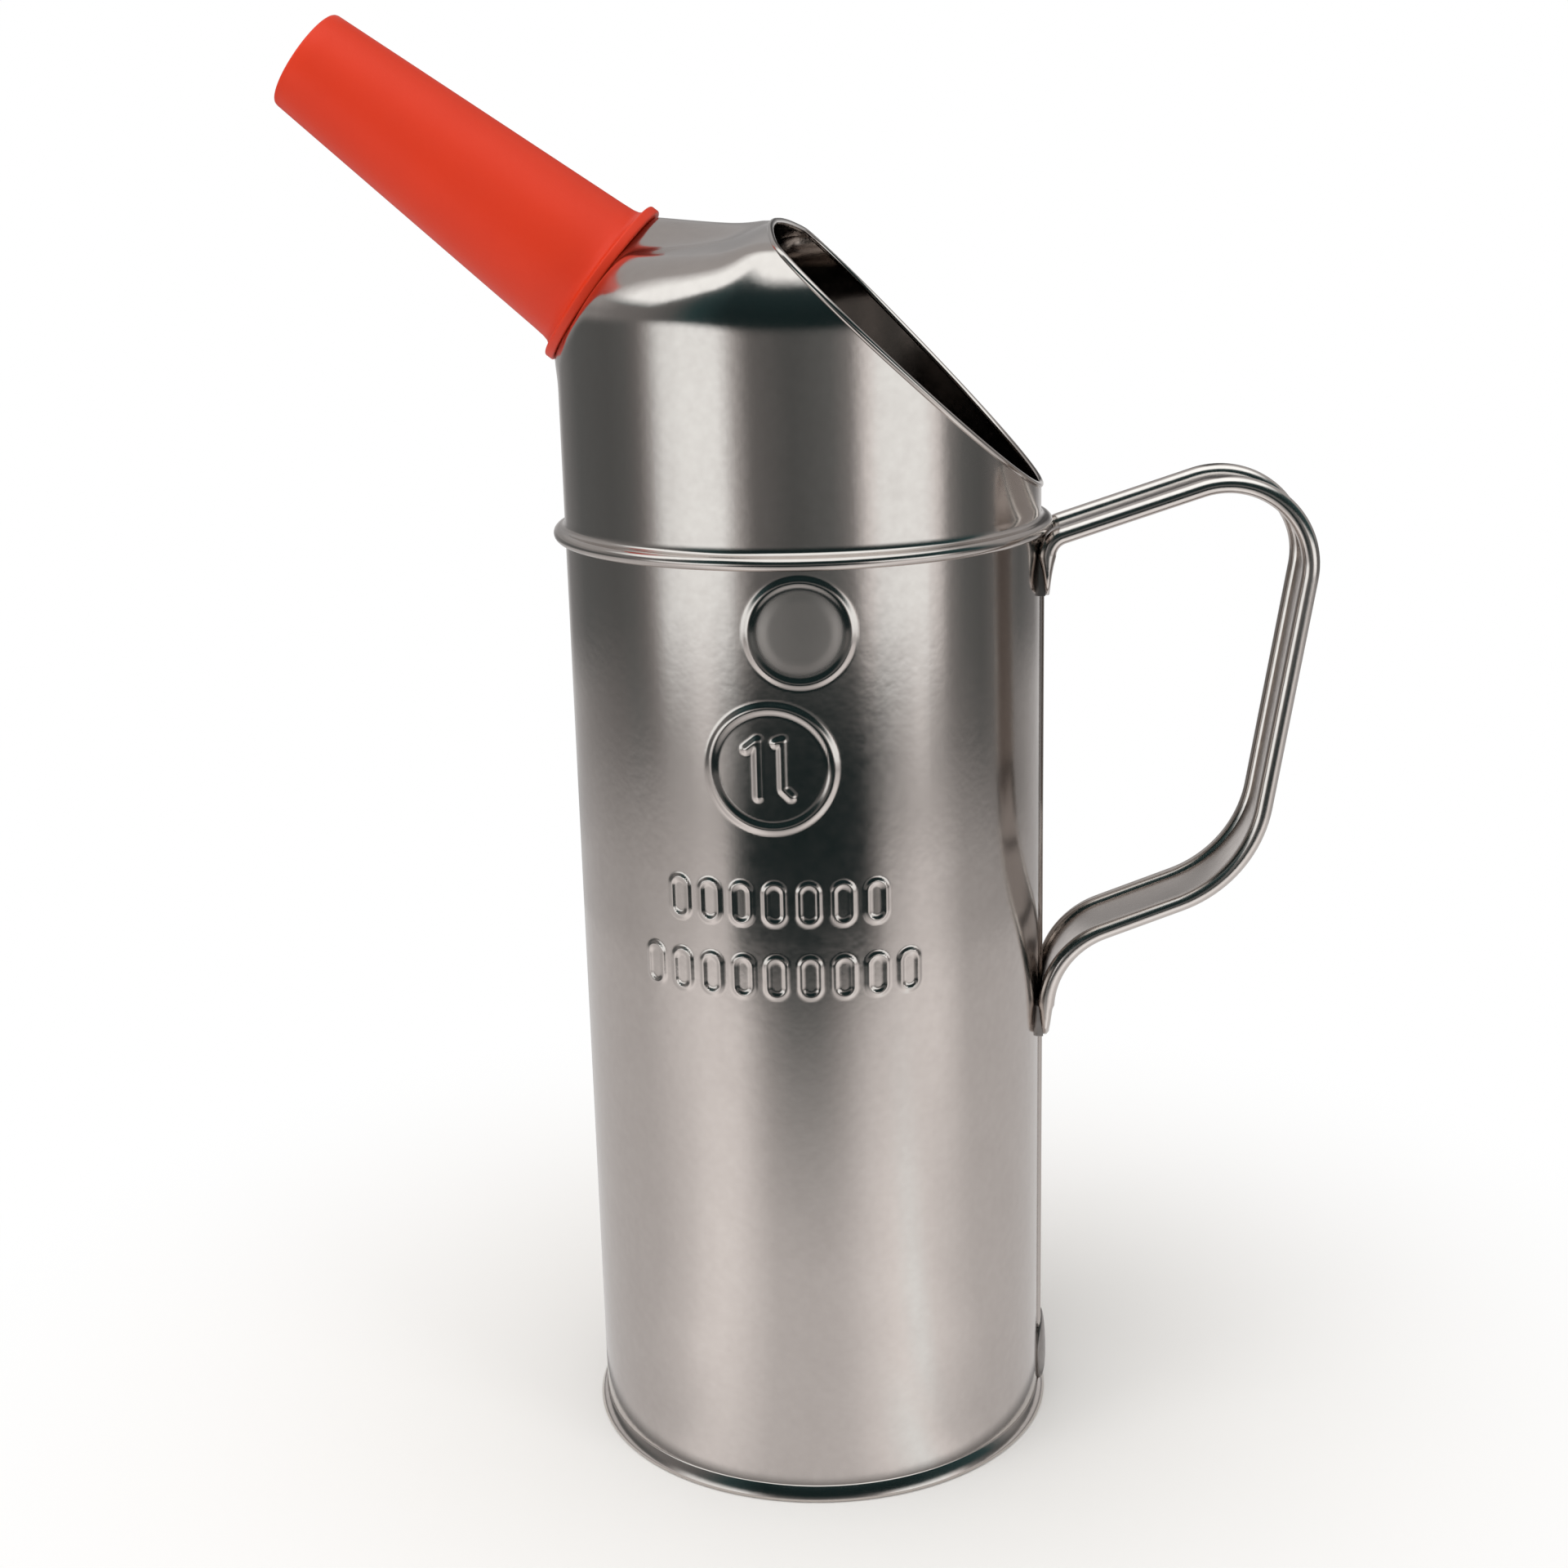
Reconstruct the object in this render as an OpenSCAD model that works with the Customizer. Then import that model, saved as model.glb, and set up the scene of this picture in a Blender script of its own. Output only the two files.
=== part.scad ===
// Oil can: a tinplate pouring measure with a slanted filling mouth,
// a strap handle and a push-on plastic spout.
// Z is the can's axis, z = 0 is the rim it stands on, the handle is toward +X,
// the spout toward -X and the pressed marks face -Y.

/* [Body] */
// Outside diameter of the body and of the hood
body_d = 88; // [76:1:104]
// Height of the middle of the bead that joins hood and body
bead_z = 177.6; // [165:0.1:220]
// Thickness of the tinplate
sheet = 0.4; // [0.3:0.05:0.5]
// Width of the lock seam behind the handle
seam_w = 6; // [4:0.5:8]
// How far the lock seam stands out from the wall
seam_rise = 0.6; // [0.4:0.05:0.8]

/* [Base] */
// Height of the double seam round the base
base_seam_h = 3.4; // [3:0.1:5]
// How far the double seam stands out from the wall
base_seam_out = 1.35; // [1.2:0.05:2]
// Height of the base panel above the rim
base_recess = 3; // [2.6:0.1:6]
// Radius of the stiffening step pressed in the base panel
base_step_r = 31; // [20:1:34]
// Height of that step
base_step_h = 1; // [0.6:0.1:2]

/* [Joint bead] */
// How far the bead stands out from the wall
bead_out = 2.15; // [1.8:0.05:3]
// Height of the bead
bead_h = 2.4; // [2:0.1:2.8]
// Length of the body's flange inside the bead
flange_out = 1.5; // [1:0.1:1.6]

/* [Hood] */
// Height of the hood's straight wall above the middle of the bead
hood_wall_h = 38; // [34:0.1:44]
// Radius of the rounded shoulder
shoulder_r = 13; // [8:0.5:14]
// Slope at which the shoulder runs into the domed top
dome_slope = 11.4; // [8:0.1:18]
// Tilt of the mouth's plane
mouth_tilt = 45; // [42:1:48]
// Height of the mouth's lowest edge above the middle of the bead
mouth_low = 7.5; // [7:0.5:12]
// Width of the folded hem round the mouth
hem_w = 2.1; // [1.5:0.1:3]
// How far the hem stands out from the sheet
hem_out = 0.6; // [0.4:0.1:1]

/* [Spout seat] */
// Angle of the spout above the horizontal
spout_tilt = 38; // [34:1:42]
// Distance of the seat's centre inside the body's outside wall
seat_inset = 9.1; // [8:0.1:10]
// Height of the seat's centre above the middle of the bead
seat_rise = 43.65; // [43:0.05:45]
// Radius of the seat's face
seat_face_r = 15.2; // [14.6:0.1:16]
// Width of the straight edge round the seat's face
seat_edge = 0.3; // [0.2:0.05:0.6]
// Depth of the step round the seat
cove = 0.6; // [0.3:0.1:4]
// Depth to which the seat's cone runs into the hood
cone_depth = 12.3; // [11:0.1:13]
// Radius of the seat's cone at that depth
cone_r = 22; // [21:0.5:23]
// Height of the cone's centre above the spout's axis at that depth
cone_shift = 1.1; // [0.5:0.1:1.5]

/* [Neck] */
// Outside radius of the neck that the spout is pushed on
neck_r = 10.4; // [9:0.1:11]
// Length of the neck outside the seat
neck_len = 22; // [16:1:26]
// Radius of the collar soldered under the seat
collar_r = 13.4; // [12.4:0.1:13.8]
// Length of the neck inside the hood
neck_in = 3; // [2:0.5:5]
// Leg of the solder fillet round the collar
fillet = 0.9; // [0.5:0.1:1]

/* [Spout] */
// Length of the spout from its seat to its tip
spout_len = 66.6; // [55:0.1:80]
// Radius of the spout's flange
spout_flange_r = 16.45; // [16:0.05:18]
// Thickness of the spout's flange
spout_flange_t = 1.9; // [1.2:0.1:2.6]
// Outside radius of the spout's cone above the flange
spout_base_r = 13.75; // [13.2:0.05:14.5]
// Outside radius of the spout at its tip
spout_tip_r = 9.6; // [9:0.1:10.4]
// Wall of the spout at its tip
spout_wall = 1.8; // [1.2:0.1:2.2]
// Length of the straight bore at the tip
tip_land = 9; // [6:0.5:12]
// Radial clearance between the neck and the spout's bore
neck_gap = 0.08; // [0.04:0.01:0.1]

/* [Handle] */
// Width of the handle strap over its rolled edges
strap_w = 20; // [17:0.5:22]
// Thickness of the strap
strap_t = 0.7; // [0.6:0.05:0.9]
// Radius of the strap's rolled edges
roll_r = 1.2; // [1:0.05:1.3]
// How far the rolled edges sit toward the outside of the strap
roll_shift = 0.5; // [0.3:0.05:0.6]
// Depth of the strap's upper corner below the middle of the bead
root_drop = 2.6; // [2.5:0.1:5]
// Height of the lower end's corner above the base
lower_root_z = 96.4; // [85:0.1:105]
// Slope of the top of the handle
top_slope = 18.1; // [12:0.1:22]
// Reach of the grip's upper corner from the wall
grip_reach = 51.6; // [46:0.1:60]
// Lean of the grip from the vertical
grip_lean = 9.1; // [4:0.1:12]
// Slope of the lower arm of the handle
arm_slope = 21.4; // [16:0.1:26]
// Bend radius where the strap leaves the wall at the top
root_bend = 4; // [3:0.5:6]
// Bend radius at the top of the grip
top_bend = 14.9; // [10:0.1:18]
// Bend radius at the foot of the grip
low_bend = 24; // [16:1:28]
// Bend radius where the strap comes down on the wall
foot_bend = 17; // [10:1:20]
// Length of the upper tab below its bend
upper_tab = 7.5; // [5:0.5:12]
// Length of the lower tab below its bend
lower_tab = 6.2; // [4.2:0.5:12]
// Corner radius at the ends of both tabs
tab_round = 4; // [2:0.5:4]

/* [Pressed marks] */
// Height of the pressed marks above the sheet
mark_rise = 0.5; // [0.3:0.05:0.8]
// Angle of the marks from the front, toward the spout
marks_turn = 4.3; // [0:0.1:10]
// Height of the capacity ring's centre
ring_z = 141.6; // [130:0.1:146]
// Outside radius of the capacity ring
ring_r = 12.5; // [10:0.1:13]
// Width of each of its two raised lines
line_w = 1.1; // [0.8:0.1:1.4]
// Height of the numeral in the ring
numeral_h = 11; // [8:0.5:12]
// Height of the plain medallion's centre
medallion_z = 165.6; // [164.5:0.1:167]
// Radius of the medallion
medallion_r = 9.4; // [7:0.1:9.8]
// Angle of the medallion from the front, toward the handle
medallion_turn = 2.8; // [0:0.1:6]
// Height of the upper row of raised links
row_1_z = 117.5; // [112:0.1:121]
// Height of the lower row of raised links
row_2_z = 103.9; // [96:0.1:105]
// Height of a link
link_h = 8.4; // [6:0.1:10]
// Width of a link
link_w = 4.6; // [3.6:0.1:6]
// Spacing of the links round the wall
link_pitch = 6; // [6:0.1:7]

/* [Solder] */
// Width of the solder pads under the handle's tabs
pad_w = 14; // [8:0.5:14.5]
// Radius of the solder cap at the seam's foot
cap_r = 22; // [18:0.5:26]
// How far that cap stands out from the seam
cap_rise = 1; // [0.8:0.1:2]
// Gap between that cap and the double seam
cap_gap = 0.3; // [0.2:0.1:2]

/* [Hidden] */
$fn = 96;
// overshoot of a cutting body past the face it cuts
cut = 1;
// length and rise of the slice that ties two stretches of the strap
lap = 0.4;
tie_rise = 0.02;
// sides of the circles inside a hull
hull_fn = 72;
// thickness of the slices that the hull joins
hull_slice = 0.1;
// half of the flat on the curl's edge
curl_flat = 0.1;
// room past the end of the neck in the spout's bore
neck_room = 0.6;
arc_steps = 10;
row_1_links = 7;
row_2_links = 9;

body_r = body_d / 2;
inner_r = body_r - sheet;
seam_face = body_r + seam_rise;
base_out_r = body_r + base_seam_out;
bead_top = bead_z + bead_h / 2;
bead_bottom = bead_z - bead_h / 2;
shoulder_z = bead_z + hood_wall_h;
seat_r = body_r - seat_inset;
seat_z = bead_z + seat_rise;
mouth_z = bead_z + mouth_low;
bore_r = neck_r + neck_gap;
bore_len = neck_len + neck_room;
far = 3 * body_d;
// middle of the strap where it lies on the seam
strap_x = seam_face + strap_t / 2;

function arc(centre, r, from, to) =
    [for (i = [0 : arc_steps])
        let (a = from + (to - from) * i / arc_steps)
        [centre[0] + r * cos(a), centre[1] + r * sin(a)]];

// places its children in the spout's frame: Z along the spout, X up the seat's face
module at_seat() {
    translate([-seat_r, 0, seat_z]) rotate([0, spout_tilt - 90, 0]) children();
}

// ---- body ----

module body_shell() {
    hook_z = 2 * sheet;
    color("silver") {
        difference() {
            union() {
                rotate_extrude() polygon([
                    [inner_r, hook_z], [body_r + 1.5 * sheet, hook_z],
                    [body_r + 1.5 * sheet, hook_z + sheet], [body_r, hook_z + sheet],
                    [body_r, bead_z - sheet / 2], [body_r + flange_out, bead_z - sheet / 2],
                    [body_r + flange_out, bead_z + sheet / 2], [inner_r, bead_z + sheet / 2]]);
                lock_seam();
                pressed_marks();
            }
            translate([0, 0, -cut]) cylinder(r = inner_r, h = bead_z + 3 * cut);
        }
    }
}

module lock_seam() {
    translate([inner_r - sheet, -seam_w / 2, base_seam_h + sheet / 2])
        cube([seam_face - inner_r + sheet, seam_w, bead_bottom - base_seam_h - sheet]);
}

// turns its flat children onto the wall at an angle and a height
module on_wall(angle, z) {
    rotate([0, 0, angle]) translate([0, 0, z]) rotate([90, 0, 0])
        translate([0, 0, inner_r - 2 * cut]) linear_extrude(height = 4 * cut + sheet + mark_rise)
            children();
}

module pressed_marks() {
    intersection() {
        cylinder(r = body_r + mark_rise, h = bead_z - bead_h);
        union() {
            on_wall(-marks_turn, ring_z) capacity_ring();
            on_wall(medallion_turn, medallion_z) medallion();
            link_row(row_1_z, row_1_links);
            link_row(row_2_z, row_2_links);
        }
    }
}

module band(r, w) {
    difference() {
        circle(r = r);
        circle(r = r - w);
    }
}

module capacity_ring() {
    band(ring_r, line_w);
    band(ring_r - 2 * line_w, line_w);
    // the numeral one
    stroke = line_w * 1.4;
    translate([-stroke / 2, -numeral_h / 2]) square([stroke, numeral_h]);
    translate([0, numeral_h / 2 - stroke * 0.35]) rotate(220) translate([0, -stroke * 0.4])
        square([numeral_h * 0.34, stroke * 0.8]);
    translate([-numeral_h * 0.2, -numeral_h / 2]) square([numeral_h * 0.4, stroke * 0.8]);
}

module medallion() {
    band(medallion_r, line_w);
    circle(r = medallion_r - 2.2 * line_w);
}

// an upright oblong outline with round ends
module link() {
    end_r = link_w / 2;
    half = link_h / 2 - end_r;
    difference() {
        oblong(end_r, half);
        oblong(end_r - line_w, half);
    }
}

module oblong(r, half) {
    translate([0, half]) circle(r = r);
    translate([0, -half]) circle(r = r);
    translate([-r, -half]) square([2 * r, 2 * half]);
}

module link_row(z, count) {
    step = link_pitch / body_r * 180 / PI;
    for (i = [0 : count - 1])
        on_wall(-marks_turn + (i - (count - 1) / 2) * step, z) link();
}

// ---- base ----

module base_disc() {
    inside_r = inner_r - sheet;
    color("silver")
        rotate_extrude() polygon([
            [0, base_recess + base_step_h], [base_step_r, base_recess + base_step_h],
            [base_step_r + sheet, base_recess], [inside_r, base_recess],
            [inside_r, 0], [base_out_r, 0],
            [base_out_r, base_seam_h], [body_r, base_seam_h],
            [body_r, base_seam_h - sheet], [base_out_r - sheet, base_seam_h - sheet],
            [base_out_r - sheet, sheet], [inner_r, sheet],
            [inner_r, base_recess + sheet], [base_step_r + 2 * sheet, base_recess + sheet],
            [base_step_r + sheet, base_recess + base_step_h + sheet],
            [0, base_recess + base_step_h + sheet]]);
}

module base_seal() {
    color("dimgray")
        translate([0, 0, sheet]) difference() {
            cylinder(r = base_out_r - sheet, h = sheet);
            translate([0, 0, -cut]) cylinder(r = inner_r, h = sheet + 2 * cut);
        }
}

// ---- hood ----

// solid under the hood's rounded shoulder and domed top, grown by g
module dome(g) {
    r = shoulder_r + g;
    centre = [body_r - shoulder_r, shoulder_z];
    dome_r = centre[0] / sin(dome_slope) + r;
    dome_centre = [0, centre[1] - centre[0] / tan(dome_slope)];
    rotate_extrude() polygon(concat(
        [[0, bead_z], [body_r + g, bead_z]],
        arc(centre, r, 0, 90 - dome_slope),
        arc(dome_centre, dome_r, 90 - dome_slope, 90)));
}

// half-space behind the seat's plane, moved forward by d
module behind_seat(d) {
    at_seat() translate([-far / 2, -far / 2, d - far]) cube([far, far, far]);
}

// half-space under the mouth's plane, moved up along its normal by d
module under_mouth(d) {
    translate([body_r, 0, mouth_z]) rotate([0, mouth_tilt, 0])
        translate([-far / 2, -far / 2, d - far]) cube([far, far, far]);
}

// oblique cone that carries the seat, with a straight boss under the seat's face
module seat_cone(g) {
    at_seat() translate([0, 0, -cone_depth]) cylinder(r = seat_face_r + g, h = cone_depth + g);
    intersection() {
        at_seat() hull() {
            translate([0, 0, g - hull_slice])
                cylinder(r = seat_face_r - seat_edge + g, h = hull_slice, $fn = hull_fn);
            translate([cone_shift, 0, -cone_depth])
                cylinder(r = cone_r + g, h = hull_slice, $fn = hull_fn);
        }
        cylinder(r = body_r + g, h = far);
    }
}

// the hood as a solid, its surface moved outward by g
module hood_form(g) {
    intersection() {
        dome(g);
        behind_seat(g - cove);
    }
    seat_cone(g);
}

module hood_curl() {
    r = bead_h / 2 - curl_flat;
    outer = body_r + bead_out;
    rotate_extrude() difference() {
        polygon(concat(
            [[inner_r, bead_bottom], [outer - r, bead_bottom]],
            arc([outer - r, bead_z - bead_h / 2 + r], r, -90, 0),
            arc([outer - r, bead_z + bead_h / 2 - r], r, 0, 90),
            [[inner_r, bead_top]]));
        translate([0, bead_z - far]) square([body_r, far + sheet / 2]);
        translate([0, bead_z - sheet / 2]) square([body_r + flange_out, sheet]);
    }
}

module hood_shell() {
    color("silver") {
        difference() {
            union() {
                intersection() {
                    hood_form(0);
                    under_mouth(0);
                    translate([-far / 2, -far / 2, bead_z + sheet / 2]) cube([far, far, far]);
                }
                intersection() {
                    dome(hem_out);
                    under_mouth(0);
                    difference() {
                        cube([far, far, far], center = true);
                        under_mouth(-hem_w);
                    }
                    translate([-body_r / 2, -far / 2, bead_top]) cube([far, far, far]);
                }
                hood_curl();
            }
            hood_form(-sheet);
            at_seat() translate([0, 0, -2 * cut]) cylinder(r = neck_r, h = 4 * cut);
        }
    }
}

// ---- neck and spout ----

module spout_neck() {
    color("gainsboro")
        at_seat() rotate_extrude() polygon([
            [neck_r - sheet, -sheet - neck_in], [neck_r, -sheet - neck_in],
            [neck_r, -2 * sheet], [collar_r, -2 * sheet], [collar_r, -sheet], [neck_r, -sheet],
            [neck_r, neck_len], [neck_r - sheet, neck_len]]);
}

module neck_solder() {
    color("lightgray")
        at_seat() rotate_extrude() polygon([
            [collar_r, -sheet], [collar_r, -sheet - fillet / 2], [collar_r + fillet, -sheet]]);
}

module spout() {
    root_z = spout_flange_t + (spout_flange_r - spout_base_r) * 0.6;
    tip_bore = spout_tip_r - spout_wall;
    color("orangered")
        at_seat() rotate_extrude() polygon(concat(
            [[bore_r, 0], [spout_flange_r, 0], [spout_flange_r, spout_flange_t],
             [spout_base_r + 0.8, spout_flange_t + 0.3], [spout_base_r, root_z],
             [spout_tip_r, spout_len], [tip_bore, spout_len],
             [tip_bore, spout_len - tip_land], [bore_r, bore_len]]));
}

// ---- handle ----

// cross-section of the strap grown by g: x across its thickness, y across its width
module strap_section(g = 0) {
    edge = strap_w / 2 - roll_r;
    translate([-strap_t / 2 - g, -edge]) square([strap_t + 2 * g, 2 * edge]);
    for (side = [-1, 1])
        translate([roll_shift, side * edge]) circle(r = roll_r + g);
}

// straight stretch along +X, its outside face toward +Y
module run(length) {
    rotate([90, 0, 90]) linear_extrude(height = length) strap_section();
}

// slice that ties one stretch of the strap to the next
module tie() {
    translate([-lap / 2, 0, 0]) rotate([90, 0, 90])
        linear_extrude(height = lap) strap_section(tie_rise);
}

// stretch with round corners at its start, or at its end if flipped
module tab(length, flipped) {
    wide = strap_w / 2 + cut / 2;
    intersection() {
        run(length);
        translate([flipped ? length : 0, 0, 0]) mirror([flipped ? 1 : 0, 0, 0])
            rotate([90, 0, 0]) linear_extrude(height = 4 * roll_r, center = true) {
                translate([tab_round, -wide]) square([length, 2 * wide]);
                translate([0, tab_round - wide]) square([length, 2 * (wide - tab_round)]);
                for (side = [-1, 1])
                    translate([tab_round, side * (wide - tab_round)]) circle(r = tab_round);
            }
    }
}

// bend to the right (turn < 0) or to the left (turn > 0) from +X
module bend(r, turn) {
    side = turn > 0 ? 1 : -1;
    translate([0, side * r, 0]) rotate([0, 0, side > 0 ? -90 : 90 + turn])
        rotate_extrude(angle = abs(turn)) translate([r, 0]) mirror([side > 0 ? 1 : 0, 0])
            strap_section();
}

// lays out a list of [length] and [radius, turn] one after another
module strap_path(steps, i = 0) {
    if (i < len(steps)) {
        step = steps[i];
        if (i > 0) tie();
        if (len(step) == 1) {
            if (i == 0 || i == len(steps) - 1) tab(step[0], i > 0);
            else run(step[0]);
            translate([step[0], 0, 0]) strap_path(steps, i + 1);
        } else {
            bend(step[0], step[1]);
            translate([0, sign(step[1]) * step[0], 0]) rotate([0, 0, step[1]])
                translate([0, -sign(step[1]) * step[0], 0]) strap_path(steps, i + 1);
        }
    }
}

// corners of the strap's route in the X-Z plane, worked out from the slopes
root_z = bead_z - root_drop;
grip_x = body_r + grip_reach;
grip_top_z = root_z + (grip_x - strap_x) * tan(top_slope);
// the grip's line meets the lower arm's line
grip_foot_dz = (grip_top_z - lower_root_z - (grip_x - strap_x) * tan(arm_slope))
    / (1 - tan(grip_lean) * tan(arm_slope));
grip_foot_x = grip_x - grip_foot_dz * tan(grip_lean);

// shortening of a straight stretch by the bend at its end
function trim(r, turn) = r * tan(abs(turn) / 2);

root_turn = top_slope - 90;
top_turn = -grip_lean - 90 - top_slope;
low_turn = arm_slope + grip_lean - 90;
foot_turn = 90 - arm_slope;

strap_steps = [
    [upper_tab], [root_bend, root_turn],
    [(grip_x - strap_x) / cos(top_slope) - trim(root_bend, root_turn) - trim(top_bend, top_turn)],
    [top_bend, top_turn],
    [grip_foot_dz / cos(grip_lean) - trim(top_bend, top_turn) - trim(low_bend, low_turn)],
    [low_bend, low_turn],
    [(grip_foot_x - strap_x) / cos(arm_slope) - trim(low_bend, low_turn) - trim(foot_bend, foot_turn)],
    [foot_bend, foot_turn], [lower_tab]];
upper_tab_z = root_z - trim(root_bend, root_turn) - upper_tab;
lower_tab_z = lower_root_z - trim(foot_bend, foot_turn) - lower_tab;

module handle_strap() {
    color("silver")
        translate([strap_x, 0, upper_tab_z]) rotate([90, 0, 0]) rotate([0, 0, 90])
            strap_path(strap_steps);
}

// solder between the wall and a tab whose lower end is at z
module solder_pad(z, height) {
    difference() {
        translate([inner_r - 2 * cut, -pad_w / 2, z]) cube([seam_face - inner_r + 2 * cut, pad_w, height]);
        cylinder(r = body_r, h = far, $fn = 360);
        translate([0, -seam_w / 2, 0]) cube([seam_face + cut, seam_w, far]);
    }
}

module upper_handle_solder() {
    color("gray") solder_pad(upper_tab_z, upper_tab);
}

module lower_handle_solder() {
    color("gray") solder_pad(lower_tab_z, lower_tab);
}

module seam_foot_solder() {
    centre_x = seam_face + cap_rise - cap_r;
    half = sqrt(cap_r * cap_r - pow(seam_face - centre_x, 2));
    color("lightgray")
        difference() {
            translate([centre_x, 0, base_seam_h + cap_gap + half]) sphere(r = cap_r);
            cylinder(r = body_r, h = far, center = true);
            lock_seam();
            translate([0, 0, base_seam_h + cap_gap - far]) cylinder(r = far, h = far);
        }
}

body_shell();
base_disc();
base_seal();
hood_shell();
spout_neck();
neck_solder();
spout();
handle_strap();
upper_handle_solder();
lower_handle_solder();
seam_foot_solder();
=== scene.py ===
from math import atan2, cos, degrees, hypot, pi, radians, sin, sqrt, tan

import bmesh
import bpy
import numpy as np
from mathutils import Matrix, Vector


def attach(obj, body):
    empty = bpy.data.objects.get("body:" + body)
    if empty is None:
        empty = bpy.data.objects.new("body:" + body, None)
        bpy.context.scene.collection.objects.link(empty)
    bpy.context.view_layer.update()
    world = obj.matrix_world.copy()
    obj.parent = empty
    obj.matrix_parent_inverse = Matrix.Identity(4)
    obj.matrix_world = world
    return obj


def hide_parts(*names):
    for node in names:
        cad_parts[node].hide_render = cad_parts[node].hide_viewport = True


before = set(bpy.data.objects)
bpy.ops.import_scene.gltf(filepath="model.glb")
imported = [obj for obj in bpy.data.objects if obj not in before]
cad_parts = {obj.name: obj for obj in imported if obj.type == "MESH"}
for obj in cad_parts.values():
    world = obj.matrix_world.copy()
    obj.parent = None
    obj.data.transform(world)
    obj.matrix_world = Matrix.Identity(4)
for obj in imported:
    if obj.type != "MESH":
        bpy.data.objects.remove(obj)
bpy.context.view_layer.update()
mm = 0.001  # every size below is in mm and every angle in degrees, unless its note says otherwise


# camera

view = {
    "place": (30.5, -421.3, 243.0),
    "lens": 52.48,
    "sensor": 36,
    "near": 0.01,  # m, nothing closer than this is drawn
    "down": 15.31,
    "turn": 4.79,
    "tilt": -1.49,
}


def makeCamera():
    camera = bpy.data.cameras.new("camera")
    camera.lens = view["lens"]
    camera.sensor_width = view["sensor"]
    camera.clip_start = view["near"]
    holder = bpy.data.objects.new("camera", camera)
    bpy.context.scene.collection.objects.link(holder)
    turned = Matrix.Rotation(radians(view["turn"]), 4, "Z")
    lowered = Matrix.Rotation(radians(90 - view["down"]), 4, "X")
    tilted = Matrix.Rotation(radians(view["tilt"]), 4, "Z")
    holder.matrix_world = Matrix.Translation(Vector(view["place"]) * mm) @ turned @ lowered @ tilted
    bpy.context.scene.camera = holder


makeCamera()
print("camera set")


# helpers for materials

def colour(code):
    # sRGB hex to linear RGBA
    parts = [int(code[i:i + 2], 16) / 255 for i in (1, 3, 5)]
    return tuple(p / 12.92 if p <= 0.04045 else ((p + 0.055) / 1.055) ** 2.4 for p in parts) + (1,)


def addNode(tree, kind, values=None):
    # a key is an input, or else a property of the node; a socket is linked and all else is set
    node = tree.nodes.new(kind)
    for key, value in (values or {}).items():
        if isinstance(value, bpy.types.NodeSocket):
            tree.links.new(value, node.inputs[key])
        elif isinstance(key, int) or key in node.inputs:
            node.inputs[key].default_value = value
        else:
            setattr(node, key, value)
    return node


def addMath(tree, operation, *terms, clamp=False):
    values = {"operation": operation, "use_clamp": clamp, **dict(enumerate(terms))}
    return addNode(tree, "ShaderNodeMath", values).outputs[0]


def addNoise(tree, place, scale, detail):
    values = {"Scale": scale, "Detail": detail, "Vector": place}
    return addNode(tree, "ShaderNodeTexNoise", values).outputs["Fac"]


def addRange(tree, value, start, end, low=0.0, high=1.0):
    # low where value is start or less, high where it is end or more
    values = {"From Min": start, "From Max": end, "To Min": low, "To Max": high, "Value": value}
    return addNode(tree, "ShaderNodeMapRange", values).outputs[0]


def addMix(tree, share, first, second, blend="MIX"):
    values = {"blend_type": blend, "Fac": share, "Color1": first, "Color2": second}
    return addNode(tree, "ShaderNodeMixRGB", values).outputs[0]


def addBump(tree, height, strength, distance):
    # distance is in m
    values = {"Strength": strength, "Distance": distance, "Height": height}
    return addNode(tree, "ShaderNodeBump", values).outputs[0]


def newMaterial(name):
    # the material, its tree and the object coordinates that its patterns use
    material = bpy.data.materials.new(name)
    material.use_nodes = True
    tree = material.node_tree
    tree.nodes.clear()
    return material, tree, addNode(tree, "ShaderNodeTexCoord").outputs["Object"]


def finish(tree, shader):
    addNode(tree, "ShaderNodeOutputMaterial", {"Surface": shader.outputs[0]})


def finishSolid(tree, values):
    finish(tree, addNode(tree, "ShaderNodeBsdfPrincipled", values))


# materials

tin = {
    "lines": (3300, 3300, 80),  # per m: rolling lines 0.3 mm apart and some 12 mm long, along the can
    "lineRelief": 0.12,  # their share of the relief
    "mottle": 560.0,  # per m: 1.8 mm
    "clouds": 110.0,  # per m: 9 mm
    "stain": (0.3, 0.7),  # between these the roughness rises
    "spread": (0.015, 0.035),  # by so much below and above the gloss
    "frost": 0.28,  # roughness that the satin adds
}


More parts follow.
